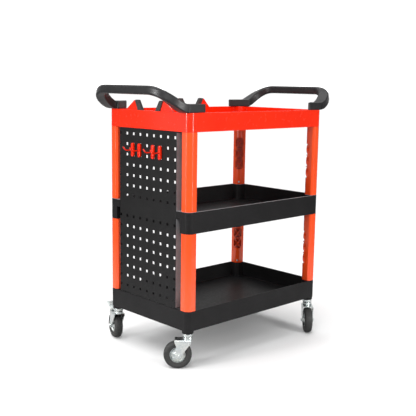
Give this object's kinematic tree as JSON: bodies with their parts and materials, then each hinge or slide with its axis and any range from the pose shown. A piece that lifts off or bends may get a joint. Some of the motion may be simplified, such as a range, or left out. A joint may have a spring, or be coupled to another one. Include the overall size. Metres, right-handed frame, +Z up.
{
  "type": "tool cart",
  "caption": "Rolling tool cart with open trays on ribbed posts, pegboard end panel with hooks, loop push handles, notched tool rests and swivel casters.",
  "frame": {"origin": "on the floor, below the centre of the whole cart's bounding box with its casters turned as stored; the trays' centre plane is y = -0.0135", "axes": "+Z up, +X along the cart away from the pegboard end, +Y across it"},
  "size_m": [0.905, 0.5656, 0.9845],
  "materials": {
    "red_plastic": "moulded orange-red plastic, satin",
    "black_plastic": "moulded black plastic, fine grain",
    "black_steel": "black powder coat",
    "handle_plastic": "smooth dark grey plastic, soft sheen",
    "rest_rubber": "matt black rubber",
    "zinc_steel": "bright zinc plating",
    "tyre_rubber": "matt dark grey-green rubber"
  },
  "bodies": {
    "cart": {"top_tray": "red_plastic", "middle_tray": "black_plastic", "bottom_tray": "black_plastic", "post_lower_front_left": "red_plastic", "post_lower_front_right": "red_plastic", "post_lower_rear_left": "red_plastic", "post_lower_rear_right": "red_plastic", "post_upper_front_left": "red_plastic", "post_upper_front_right": "red_plastic", "post_upper_rear_left": "red_plastic", "post_upper_rear_right": "red_plastic", "post_screw_lower_front_left": "zinc_steel", "post_screw_lower_front_right": "zinc_steel", "post_screw_lower_rear_left": "zinc_steel", "post_screw_lower_rear_right": "zinc_steel", "post_screw_upper_front_left": "zinc_steel", "post_screw_upper_front_right": "zinc_steel", "post_screw_upper_rear_left": "zinc_steel", "post_screw_upper_rear_right": "zinc_steel", "pegboard_panel": "black_steel", "hook_1": "red_plastic", "hook_2": "red_plastic", "hook_3": "red_plastic", "hook_4": "red_plastic", "handle_front": "handle_plastic", "handle_rear": "handle_plastic", "handle_foot_front_left": "handle_plastic", "handle_foot_front_right": "handle_plastic", "handle_foot_rear_left": "handle_plastic", "handle_foot_rear_right": "handle_plastic", "end_rest": "red_plastic", "end_rest_trim": "rest_rubber", "side_rest": "red_plastic", "side_rest_trim": "rest_rubber", "caster_stem_front_left": "zinc_steel", "caster_stem_front_right": "zinc_steel", "caster_stem_rear_left": "zinc_steel", "caster_stem_rear_right": "zinc_steel"},
    "fork_front_left": {"caster_fork_front_left": "zinc_steel", "caster_axle_front_left": "zinc_steel"},
    "wheel_front_left": {"caster_rim_front_left": "zinc_steel", "caster_tyre_front_left": "tyre_rubber"},
    "fork_front_right": {"caster_fork_front_right": "zinc_steel", "caster_axle_front_right": "zinc_steel"},
    "wheel_front_right": {"caster_rim_front_right": "zinc_steel", "caster_tyre_front_right": "tyre_rubber"},
    "pedal_front_right": {"brake_pedal_front_right": "zinc_steel"},
    "fork_rear_left": {"caster_fork_rear_left": "zinc_steel", "caster_axle_rear_left": "zinc_steel"},
    "wheel_rear_left": {"caster_rim_rear_left": "zinc_steel", "caster_tyre_rear_left": "tyre_rubber"},
    "fork_rear_right": {"caster_fork_rear_right": "zinc_steel", "caster_axle_rear_right": "zinc_steel"},
    "wheel_rear_right": {"caster_rim_rear_right": "zinc_steel", "caster_tyre_rear_right": "tyre_rubber"},
    "pedal_rear_right": {"brake_pedal_rear_right": "zinc_steel"}
  },
  "joints": [
    {"name": "swivel_front_left", "type": "hinge", "parent": "cart", "child": "fork_front_left", "pos_m": [-0.328, -0.215, 0.11], "axis": [0, 0, 1], "continuous": true},
    {"name": "wheel_spin_front_left", "type": "hinge", "parent": "fork_front_left", "child": "wheel_front_left", "pos_m": [-0.35339, -0.19091, 0.05], "axis": [-0.6884, -0.7254, 0], "continuous": true},
    {"name": "swivel_front_right", "type": "hinge", "parent": "cart", "child": "fork_front_right", "pos_m": [-0.328, 0.188, 0.11], "axis": [0, 0, 1], "continuous": true},
    {"name": "wheel_spin_front_right", "type": "hinge", "parent": "fork_front_right", "child": "wheel_front_right", "pos_m": [-0.31689, 0.22119, 0.05], "axis": [-0.9483, 0.3173, 0], "continuous": true},
    {"name": "brake_front_right", "type": "hinge", "parent": "fork_front_right", "child": "pedal_front_right", "pos_m": [-0.31515, 0.22641, 0.107], "axis": [-0.9483, 0.3173, 0], "range_deg": [0, 20]},
    {"name": "swivel_rear_left", "type": "hinge", "parent": "cart", "child": "fork_rear_left", "pos_m": [0.328, -0.215, 0.11], "axis": [0, 0, 1], "continuous": true},
    {"name": "wheel_spin_rear_left", "type": "hinge", "parent": "fork_rear_left", "child": "wheel_rear_left", "pos_m": [0.30391, -0.24039, 0.05], "axis": [0.7254, -0.6884, 0], "continuous": true},
    {"name": "swivel_rear_right", "type": "hinge", "parent": "cart", "child": "fork_rear_right", "pos_m": [0.328, 0.188, 0.11], "axis": [0, 0, 1], "continuous": true},
    {"name": "wheel_spin_rear_right", "type": "hinge", "parent": "fork_rear_right", "child": "wheel_rear_right", "pos_m": [0.29511, 0.19997, 0.05], "axis": [-0.342, -0.9397, 0], "continuous": true},
    {"name": "brake_rear_right", "type": "hinge", "parent": "fork_rear_right", "child": "pedal_rear_right", "pos_m": [0.28994, 0.20185, 0.107], "axis": [-0.342, -0.9397, 0], "range_deg": [0, 20]}
  ]
}
